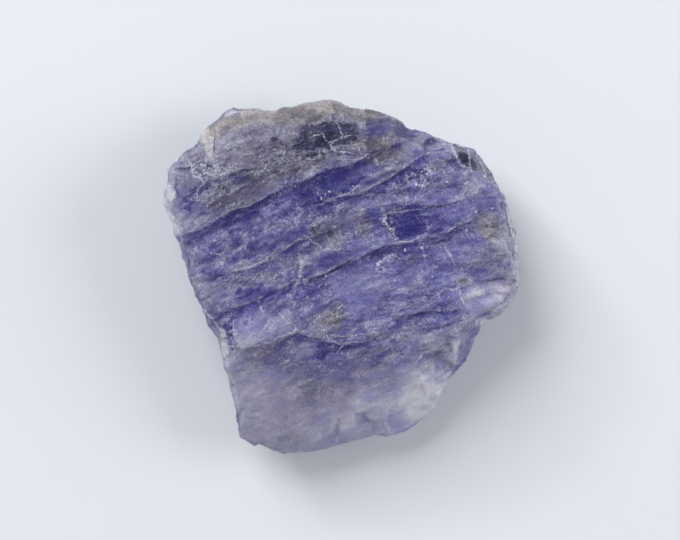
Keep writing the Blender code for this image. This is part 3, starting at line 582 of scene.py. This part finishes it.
def thickness(mesh, points, facing):
    """How much stone lies behind each point."""
    surface = surface_of(mesh, points)
    behind = np.zeros(len(points))
    starts = points - 0.03 * facing
    for number, (start, direction) in enumerate(zip(starts.tolist(), (-facing).tolist())):
        behind[number] = surface.ray_cast(start, direction)[3] or 0.0
    return behind


def calmed(points, links, front, lower):
    """The points with the solid's coarser facets smoothed on the front, most in its clean places."""
    x, y, z = points.T
    calm = CALM + soft_patches(x, y, CALM_PATCHES)
    near = averaged(points, links, CALM_ROUNDS)[:, 2]
    points[:, 2] += front * np.clip(calm, 0, 0.9) * (near - z)
    wide = averaged(points, links, CALMER_ROUNDS)[:, 2]
    share = np.clip(np.maximum(lower, soft_patches(x, y, CALMER_PATCHES)), 0, 1)
    points[:, 2] += front * CALMER * share * (wide - points[:, 2])
    return points


def grain_relief(points, front, lower):
    """Height of the thin layers and the broken grain, low in the clean places."""
    x, y, z = points.T
    along, across = band_coordinates(x, y)
    clean = 1 - ramp(zone_map(x, y, ZONES["violet"][:2] + ZONES["navy"]) / 0.12)
    pale = 1 - ramp(zone_map(x, y, ZONES["pale"][:2]) / 0.15)
    rough = 1 - front * np.maximum(0.90 * clean, np.maximum(0.6 * pale, 0.60 * lower))
    relief = np.zeros(len(points))
    for number, (spacing, height) in enumerate(LAYERS):
        relief += height * shingles(along, across + LAYER_DIP * z, spacing, seed=210 + 20 * number)
    grain_points = np.stack([along / GRAIN_LENGTH, across, z], axis=1)
    for number, (cell, height) in enumerate(GRAINS):
        relief += height * broken_grain(grain_points, cell, seed=310 + 20 * number)
    return relief * rough


def weathered(stone):
    """Adds the finest relief to the stone and keeps on its mesh what the material needs."""
    mesh = stone.data
    points = coordinates(mesh)
    links = neighbours(mesh)
    facing = averaged(normals(mesh), links, NORMAL_ROUNDS)
    flatness = np.linalg.norm(facing, axis=1)
    facing = facing / np.maximum(flatness, 1e-6)[:, None]
    front = ramp(facing[:, 2] / 0.5)
    top = ramp((facing[:, 2] + 0.10) / 0.25)
    lower = ramp((-4.2 - points[:, 1]) / 2.0)
    points = calmed(points, links, front, lower)
    relief = grain_relief(points, front, lower)
    relief *= ramp((flatness - 0.35) / 0.45) * (1 + RIM_ROUGHNESS * (1 - front))
    shade, lip = ledge_maps(*band_coordinates(points[:, 0], points[:, 1]))
    relief += front * LIP_HEIGHT * (lip - shade)
    points = points + facing * relief[:, None]
    points = np.clip(points, *(np.array(CAD_BOX) / MM))
    set_coordinates(mesh, points)
    store(mesh, "shade", shade * front)
    store(mesh, "lip", lip * front)
    store_relief(mesh, points, links)
    store_patches(mesh, points, front, top)
    store_details(mesh, points, top)


def store_relief(mesh, points, links):
    """Keeps each point's place, its height over its surroundings and how thin the stone is there."""
    facing = normals(mesh)
    fine = np.sum((points - averaged(points, links, FINE_ROUNDS)) * facing, axis=1)
    broad = np.sum((points - averaged(points, links, BROAD_ROUNDS)) * facing, axis=1)
    behind = averaged(thickness(mesh, points, facing)[:, None], links, THICKNESS_ROUNDS)[:, 0]
    x, y, z = points.T
    along, across = band_coordinates(x, y)
    store(mesh, "band", np.stack([along, across + LAYER_DIP * z, z], axis=1))
    store(mesh, "place", points)
    store(mesh, "fine", fine / 0.03)
    store(mesh, "broad", broad / 0.12)
    store(mesh, "thin", np.exp(-behind / FULL_COLOUR))


def store_patches(mesh, points, front, top):
    """Keeps the soft patches of the front and where its pale lower part begins."""
    x, y, _ = points.T
    fading = ramp((-3.5 - y + 0.8 * noise(x, y, 1.9, seed=421)) / 3.6)
    store(mesh, "lower", fading * front)
    store(mesh, "lightness", np.clip(soft_patches(x, y, LIGHTNESS), -1.2, 1.8) * top)
    store(mesh, "greyness", np.clip(soft_patches(x, y, GREYNESS), -1, 1) * top)


def store_details(mesh, points, top):
    """Keeps the lines, dots and zones of the front, a little wavy."""
    x, y = wavy(points[:, 0], points[:, 1], DETAIL_WAVES, seed=411)
    for name, lines in (("pale_line", PALE_LINES), ("dark_line", DARK_LINES)):
        ratio, near = line_map(x, y, lines)
        store(mesh, name, ratio)
        store(mesh, name + "_near", near * top)
    for name, dots, share in (("sparkle", PAINTED_GLINTS, PAINTED_GLINT_SHARE), ("rust", RUST, 1)):
        offsets, near = dot_map(x, y, dots)
        store(mesh, name, offsets / share)
        store(mesh, name + "_near", near * top)
    for name, shapes in ZONES.items():
        store(mesh, name, zone_map(x, y, shapes) + 2 * (1 - top))


class Graph:
    """Short ways to add and join a material's nodes."""

    def __init__(self, tree):
        self.tree = tree

    def put(self, socket, value):
        if isinstance(value, bpy.types.NodeSocket):
            self.tree.links.new(value, socket)
        elif isinstance(value, tuple) and len(value) == 3 and socket.type == "RGBA":
            socket.default_value = (*value, 1)
        else:
            socket.default_value = value

    def node(self, kind, settings=None, **inputs):
        made = self.tree.nodes.new(kind)
        for name, value in (settings or {}).items():
            setattr(made, name, value)
        for name, value in inputs.items():
            self.put(made.inputs[name], value)
        return made

    def attribute(self, name, output="Fac"):
        return self.node("ShaderNodeAttribute", {"attribute_name": name}).outputs[output]

    def math(self, operation, first, second=0.0):
        made = self.node("ShaderNodeMath", {"operation": operation})
        self.put(made.inputs[0], first)
        self.put(made.inputs[1], second)
        return made.outputs[0]

    def add(self, *values):
        return reduce(partial(self.math, "ADD"), values)

    def times(self, *values):
        return reduce(partial(self.math, "MULTIPLY"), values)

    def vector(self, operation, first, second=None, output=0):
        made = self.node("ShaderNodeVectorMath", {"operation": operation})
        self.put(made.inputs[0], first)
        if second is not None:
            self.put(made.inputs[1], second)
        return made.outputs[output]

    def span(self, value, low, high, to_low=0.0, to_high=1.0):
        made = self.node("ShaderNodeMapRange", {"interpolation_type": "SMOOTHSTEP"})
        for socket, number in zip(made.inputs, (value, low, high, to_low, to_high)):
            self.put(socket, number)
        return made.outputs[0]

    def noise(self, vector, scale, detail, roughness, distortion=0.0):
        made = self.node("ShaderNodeTexNoise", None, Vector=vector, Scale=scale, Detail=detail,
                         Roughness=roughness, Distortion=distortion)
        return made.outputs[0]

    def cells(self, vector):
        return self.node("ShaderNodeTexVoronoi", None, Vector=vector, Scale=1.0).outputs

    def part(self, vector, axis):
        return self.node("ShaderNodeSeparateXYZ", None, Vector=vector).outputs[axis]

    def colours(self, value, stops):
        made = self.node("ShaderNodeValToRGB")
        self.put(made.inputs[0], value)
        ramp_stops = made.color_ramp.elements
        while len(ramp_stops) < len(stops):
            ramp_stops.new(0.5)
        for element, (place, colour) in zip(ramp_stops, stops):
            element.position = place
            element.color = (*colour, 1)
        return made.outputs[0]

    def mix(self, share, first, second, blend="MIX"):
        made = self.node("ShaderNodeMix", {"data_type": "RGBA", "blend_type": blend})
        self.put(made.inputs[0], share)
        self.put(made.inputs[6], first)
        self.put(made.inputs[7], second)
        return made.outputs[2]


# Colours of the violet body and of the grey skin, from dark to light.
BODY = [(0.00, (0.050, 0.042, 0.26)), (0.22, (0.080, 0.070, 0.33)), (0.50, (0.25, 0.24, 0.55)),
        (0.75, (0.50, 0.49, 0.80)), (1.00, (0.93, 0.93, 0.99))]
SKIN = [(0.00, (0.050, 0.045, 0.09)), (0.25, (0.12, 0.11, 0.18)), (0.50, (0.30, 0.285, 0.38)),
        (0.75, (0.58, 0.56, 0.65)), (1.00, (0.96, 0.95, 0.97))]
# White cracks, lips and chips, partly painted highlight; frosted specks; painted shade in pits and deep
# steps.
WHITE = (0.88, 0.90, 1.0)
FROST = (0.70, 0.69, 0.80)
PIT_SHADE = (0.030, 0.026, 0.08)

# Dark windows: their two depths and the fine hatch over them.
NAVY = (0.006, 0.005, 0.045)
SLATE = (0.030, 0.029, 0.125)
HATCH = (0.22, 0.22, 0.40)

# Mauve clouds of the lower part, colourless rims, cream flakes, rusty grains and painted glints.
BLUSH = (0.38, 0.32, 0.53)
COLOURLESS = (0.93, 0.94, 0.98)
CREAM = (0.90, 0.86, 0.76)
RUSTY = (0.19, 0.12, 0.06)
PAINTED_GLINT_COLOUR = (0.97, 0.98, 1.0)

# Tints that multiply the colour: warm grey patches, and a faint drift from cool to warm violet.
WARM_TINT = (0.88, 0.83, 0.48)
COOL_DRIFT, WARM_DRIFT = (0.965, 1.015, 1.0), (1.035, 0.965, 1.0)

# Plain values of the shader: share of light let through, bending, gloss, the colour kept by depth,
# and the reach in millimetres over which the surface softens light.
TRANSMISSION = 0.52
REFRACTION = 1.54
GLOSS = 0.3
ABSORBED = (0.55, 0.50, 0.90)
ABSORPTION_PER_M = 70.0
SOFTENING = (1.0, 1.0, 1.0)
SOFTENING_MM = 0.06
BASE_ROUGHNESS, LEAST_ROUGHNESS = 0.37, 0.08
BUMP_STRENGTH, BUMP_MM = 0.8, 0.07

# Pale table: width, drop below the stone's lowest point, two tones.
TABLE_M = 6.0
TABLE_DROP_MM = 0.02
TABLE_TONES = ((0.650, 0.672, 0.708), (0.668, 0.686, 0.715))

# Studio: surroundings at the horizon and overhead, and each light's place and size in metres, its
# watts, and whether its own shape shows as glints.
HORIZON, OVERHEAD = (0.82, 0.84, 0.87), (0.16, 0.165, 0.175)
LIGHTS = {
    "key": ((-0.18, 0.25, 0.26), 0.26, 1.45, False),
    "side": ((0.32, 0.02, 0.17), 0.20, 0.75, False),
    "glint": ((-0.20, 0.20, 0.13), 0.04, 0.16, True),
}

# Camera: place over the stone, lens and film width in millimetres.
CAMERA_PLACE_MM = (-0.112, 0.407, 193.7)
LENS_MM, FILM_MM = 180, 36


def iolite_material():
    """Violet-blue translucent stone, grey frosted skin, clean breaks, pale lips and dark steps, painted
    light and shade.
    """
    material = bpy.data.materials.new("iolite_looks")
    material.use_nodes = True
    graph = Graph(material.node_tree)
    shader = material.node_tree.nodes["Principled BSDF"]
    band = graph.attribute("band", "Vector")
    place = graph.attribute("place", "Vector")
    fine, broad, thin = (graph.attribute(name) for name in ("fine", "broad", "thin"))
    shade, lip, lower = (graph.attribute(name) for name in ("shade", "lip", "lower"))

    def centred(value, gain):
        return graph.times(graph.math("SUBTRACT", value, 0.5), gain)

    def noisy(across, scales, detail, roughness=0.6, distortion=0.0):
        return graph.noise(graph.vector("MULTIPLY", across, scales), 1.0, detail, roughness, distortion)

    # Textures by size, from broad clouds to fine sugar, and thin wandering threads and cracks.
    clouds = noisy(place, (0.5, 0.5, 0.5), 3.0, 0.5)
    mist = noisy(place, (0.6, 0.6, 0.6), 3.0, 0.6)
    mottle = noisy(band, (0.9, 1.5, 1.3), 4.0, 0.58)
    streaks = noisy(band, (1.9, 4.4, 3.2), 3.0, 0.62)
    sugar = noisy(place, (9.5, 9.5, 9.5), 2.0, 0.6)
    grit = noisy(place, (6.0, 6.0, 6.0), 3.0, 0.75)
    ragged = noisy(place, (3.2, 3.2, 3.2), 3.0)
    wobble = centred(ragged, 1.0)
    threads = noisy(place, (1.4, 1.4, 1.4), 3.0, 0.62, 0.8)
    threads = graph.span(graph.math("ABSOLUTE", centred(threads, 1.0)), 0.016, 0.004)
    cracks = noisy(band, (2.2, 3.6, 3.0), 3.0, 0.62, 0.9)
    cracks = graph.span(graph.math("ABSOLUTE", centred(cracks, 1.0)), 0.026, 0.007)

    def painted(colour, new, *shares):
        return graph.mix(graph.times(*shares), colour, new)

    def zone(name, soft, spread):
        return graph.span(graph.add(graph.attribute(name), graph.times(wobble, spread)), soft, -soft)

    # Places with looks of their own, and how much grain there is outside them.
    pale = zone("pale", 0.25, 0.6)
    violet = zone("violet", 0.28, 0.6)
    navy = zone("navy", 0.10, 0.75)
    hatch = noisy(band, (2.6, 9.5, 7.0), 2.0)
    tan = zone("tan", 0.40, 1.0)
    cream = zone("cream", 0.12, 0.6)
    glitter = zone("glitter", 0.25, 0.7)
    clear = zone("clear", 0.10, 0.35)
    busy = graph.math("SUBTRACT", 1.0, graph.add(graph.times(lower, 0.60), graph.times(violet, 0.75),
                                                 graph.times(navy, 0.88), graph.times(pale, 0.30)))
    busy = graph.math("MAXIMUM", busy, 0.08)

    # How grey and how light the stone is, its shattered plates, and its body, skin and patches.
    # Painted shade below the ledges and in hollows, and painted light on rises.
    grey = graph.add(0.42, graph.times(graph.attribute("greyness"), 0.60), centred(mottle, 1.2),
                     graph.times(broad, 0.06), graph.times(shade, -0.40), centred(clouds, 0.5))
    grey = graph.times(graph.span(grey, 0.10, 0.90), graph.math("SUBTRACT", 1.0, graph.times(violet, 0.80)))
    value = graph.add(
        0.43,
        graph.times(graph.attribute("lightness"), 0.36),
        graph.times(broad, 0.05),
        graph.times(graph.add(centred(clouds, 0.35), centred(mottle, 0.40), centred(streaks, 0.12),
                              graph.times(fine, 0.03)), busy),
        graph.times(shade, -0.15),
        graph.times(lower, 0.19),
        graph.times(centred(mist, 0.55), lower),
        graph.times(violet, -0.15),
        graph.times(pale, 0.10),
        # Lighter where the stone is thin: paler stone, and painted light shining through it.
        graph.times(graph.span(thin, 0.15, 0.9), 0.45),
    )
    shifts = graph.node("ShaderNodeTexNoise", None, Vector=band, Scale=2.2, Detail=3.0, Roughness=0.65)
    warped = graph.vector("ADD", graph.vector("MULTIPLY", band, (1.1, 3.0, 2.4)), shifts.outputs["Color"])
    plates = graph.part(graph.cells(warped)["Color"], "X")
    value = graph.add(value, graph.times(centred(plates, 0.16), busy))
    colour = graph.mix(grey, graph.colours(value, BODY), graph.colours(value, SKIN))
    warm = graph.mix(1.0, colour, WARM_TINT, "MULTIPLY")
    colour = painted(colour, warm, tan, 0.75)
    deep = graph.mix(graph.span(graph.add(plates, centred(streaks, 1.5)), 0.35, 1.05), NAVY, SLATE)
    deep = painted(deep, HATCH, graph.span(hatch, 0.54, 0.66), 0.65)
    colour = painted(colour, deep, navy, 0.97)
    blush = graph.span(mist, 0.47, 0.68)
    colour = painted(colour, BLUSH, blush, lower, 0.50)
    colour = painted(colour, CREAM, cream, graph.span(streaks, 0.30, 0.62), 0.85)
    cloudy = graph.span(graph.add(mottle, centred(mist, 0.8)), 0.36, 0.62, 0.25, 0.95)
    colour = painted(colour, COLOURLESS, clear, cloudy)

    # Grain: mottled tone, a faint drift of hue, frosted specks and painted shade of small pits.
    tone = graph.add(1.0, graph.times(graph.add(centred(sugar, 1.6), centred(streaks, 0.5)), busy))
    colour = graph.node("ShaderNodeVectorMath", {"operation": "SCALE"}, Vector=colour, Scale=tone).outputs[0]
    hue = graph.part(shifts.outputs["Color"], "X")
    tint = graph.mix(graph.span(hue, 0.36, 0.64), COOL_DRIFT, WARM_DRIFT)
    colour = graph.mix(graph.math("SUBTRACT", 1.0, graph.times(lower, 0.7)), colour, tint, "MULTIPLY")
    specks = graph.times(graph.span(sugar, 0.58, 0.70), graph.span(grit, 0.44, 0.58), busy)
    colour = painted(colour, FROST, specks, 0.60)
    shaded_pits = graph.times(graph.span(grit, 0.40, 0.32), busy)
    colour = painted(colour, PIT_SHADE, shaded_pits, 0.60)

    # Painted glints and pit shade at pinpoints, veils of the lower part, web of cracks, pale lips, painted
    # glitter.
    # Pinpoint chips: white points are painted glints, dark points are painted pit shade.
    chips = graph.cells(graph.vector("MULTIPLY", place, (2.7, 2.7, 2.7)))
    chosen = graph.part(chips["Color"], "X")
    points = graph.span(chips["Distance"], 0.13, 0.07)
    colour = painted(colour, WHITE, points, graph.span(chosen, 0.50, 0.52), busy, 0.90)
    colour = painted(colour, PIT_SHADE, points, graph.span(chosen, 0.25, 0.23), busy, 0.60)
    wisps = graph.math("ABSOLUTE", centred(noisy(place, (0.8, 0.8, 0.8), 2.5, 0.55), 1.0))
    veils = graph.times(graph.span(wisps, 0.06, 0.0), graph.span(mottle, 0.47, 0.66), lower)
    colour = painted(colour, WHITE, veils, 0.26)
    web = graph.times(graph.math("MAXIMUM", threads, graph.times(cracks, 0.8)), busy,
                      graph.span(mottle, 0.40, 0.58), graph.span(grit, 0.30, 0.46))
    colour = painted(colour, WHITE, web, 0.70)
    # Pale lips of the ledges: frost with a painted highlight.
    breaks = graph.span(ragged, 0.38, 0.55)
    colour = painted(colour, WHITE, lip, breaks, graph.span(sugar, 0.30, 0.55), 0.60)
    # Painted glitter: white glints and dark pit shade in the grit.
    colour = painted(colour, WHITE, glitter, graph.span(grit, 0.53, 0.61), 0.90)
    colour = painted(colour, PIT_SHADE, glitter, graph.span(grit, 0.48, 0.41), 0.85)

    # Drawn lines and dots: painted shade in deep steps, pale cracks and lips, rust grains and painted
    # glints.
    def line(name, spread):
        ratio = graph.math("ABSOLUTE", graph.add(graph.attribute(name), graph.times(wobble, spread)))
        return graph.times(graph.span(ratio, 1.35, 0.45), graph.attribute(name + "_near"))

    colour = painted(colour, PIT_SHADE, line("dark_line", 3.0), 0.75)
    pale_lines = graph.times(line("pale_line", 3.5), graph.span(sugar, 0.36, 0.56))
    colour = painted(colour, WHITE, pale_lines, 0.75)

    def dots(name, soft, spread):
        reach = graph.vector("LENGTH", graph.attribute(name, "Vector"), output="Value")
        return graph.times(graph.span(graph.add(reach, graph.times(wobble, spread)), 1 + soft, 1 - soft),
                           graph.attribute(name + "_near"))

    colour = painted(colour, RUSTY, dots("rust", 0.5, 1.5), 0.6)
    colour = graph.mix(dots("sparkle", 0.3, 2.5), colour, PAINTED_GLINT_COLOUR)

    # Finish: glossier on clean breaks.
    roughness = graph.add(
        BASE_ROUGHNESS,
        centred(mottle, 0.25),
        graph.times(grey, 0.08),
        graph.times(violet, -0.20),
        graph.times(clear, -0.20),
        graph.times(navy, -0.22),
    )
    graph.put(shader.inputs["Base Color"], colour)
    graph.put(shader.inputs["Roughness"], graph.math("MAXIMUM", roughness, LEAST_ROUGHNESS))
    plain = {"IOR": REFRACTION, "Specular IOR Level": GLOSS, "Transmission Weight": TRANSMISSION,
             "Subsurface Weight": 1.0, "Subsurface Radius": SOFTENING, "Subsurface Scale": SOFTENING_MM * MM}
    for name, value in plain.items():
        shader.inputs[name].default_value = value

    # Small tilted facets, and grain under them.
    stretched = graph.vector("MULTIPLY", band, (2.6, 4.6, 3.6))
    facet = graph.cells(stretched)
    offset = graph.vector("SUBTRACT", stretched, facet["Position"])
    tilt = graph.vector("SUBTRACT", facet["Color"], (0.5, 0.5, 0.5))
    facets = graph.vector("DOT_PRODUCT", offset, tilt, output="Value")
    facets = graph.times(facets, graph.add(0.4, graph.times(busy, 1.4), graph.times(glitter, 1.5)))
    height = graph.add(facets, graph.times(sugar, 0.4), graph.times(streaks, 0.4), graph.times(grit, 0.5))
    bump = graph.node("ShaderNodeBump", None, Strength=BUMP_STRENGTH, Distance=BUMP_MM * MM, Height=height)
    graph.put(shader.inputs["Normal"], bump.outputs[0])

    absorption = graph.node("ShaderNodeVolumeAbsorption", None, Color=ABSORBED, Density=ABSORPTION_PER_M)
    output = material.node_tree.nodes["Material Output"]
    graph.put(output.inputs["Volume"], absorption.outputs[0])
    return material


def floor():
    """A wide pale table under the stone."""
    bpy.ops.mesh.primitive_plane_add(size=TABLE_M, location=(0, 0, -TABLE_DROP_MM * MM))
    table = bpy.context.object
    table.name = "pale_floor"
    material = bpy.data.materials.new("pale_floor")
    material.use_nodes = True
    graph = Graph(material.node_tree)
    shader = material.node_tree.nodes["Principled BSDF"]
    position = graph.node("ShaderNodeNewGeometry").outputs["Position"]
    cloud = graph.noise(position, 9.0, 2.0, 0.5)
    graph.put(shader.inputs["Base Color"], graph.mix(cloud, *TABLE_TONES))
    shader.inputs["Roughness"].default_value = 0.85
    shader.inputs["Specular IOR Level"].default_value = 0.2
    table.data.materials.append(material)


def soft_light(name, place, size, watts, glints):
    """A square studio light that looks at the stone."""
    data = bpy.data.lights.new(name, "AREA")
    data.shape = "SQUARE"
    data.size = size
    data.energy = watts
    light = bpy.data.objects.new(name, data)
    light.location = place
    toward = -light.location
    light.rotation_euler = toward.to_track_quat("-Z", "Y").to_euler()
    light.visible_camera = False
    light.visible_glossy = glints
    bpy.context.scene.collection.objects.link(light)


def studio():
    """Pale surroundings, dimmer overhead, two soft lights and a small one for the glints."""
    scene = bpy.context.scene
    world = bpy.data.worlds.new("studio")
    world.use_nodes = True
    graph = Graph(world.node_tree)
    background = world.node_tree.nodes["Background"]
    direction = graph.node("ShaderNodeTexCoord").outputs["Generated"]
    height = graph.part(direction, "Z")
    graph.put(background.inputs["Color"],
              graph.mix(graph.span(height, 0.25, 0.9), HORIZON, OVERHEAD))
    background.inputs["Strength"].default_value = 1.0
    scene.world = world
    for name, settings in LIGHTS.items():
        soft_light(name, *settings)
    scene.view_settings.view_transform = "Standard"


def camera():
    """Looks straight down on the broad face."""
    data = bpy.data.cameras.new("camera")
    data.lens = LENS_MM
    data.sensor_width = FILM_MM
    data.clip_start = 0.01
    data.clip_end = 10
    eye = bpy.data.objects.new("camera", data)
    eye.location = [value * MM for value in CAMERA_PLACE_MM]
    bpy.context.scene.collection.objects.link(eye)
    bpy.context.scene.camera = eye


stone = even_mesh(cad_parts["iolite_crystal"])
weathered(stone)
stone.data.materials.clear()
stone.data.materials.append(iolite_material())
stone.data.shade_smooth()
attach(stone, "root")
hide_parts("iolite_crystal")
floor()
studio()
camera()
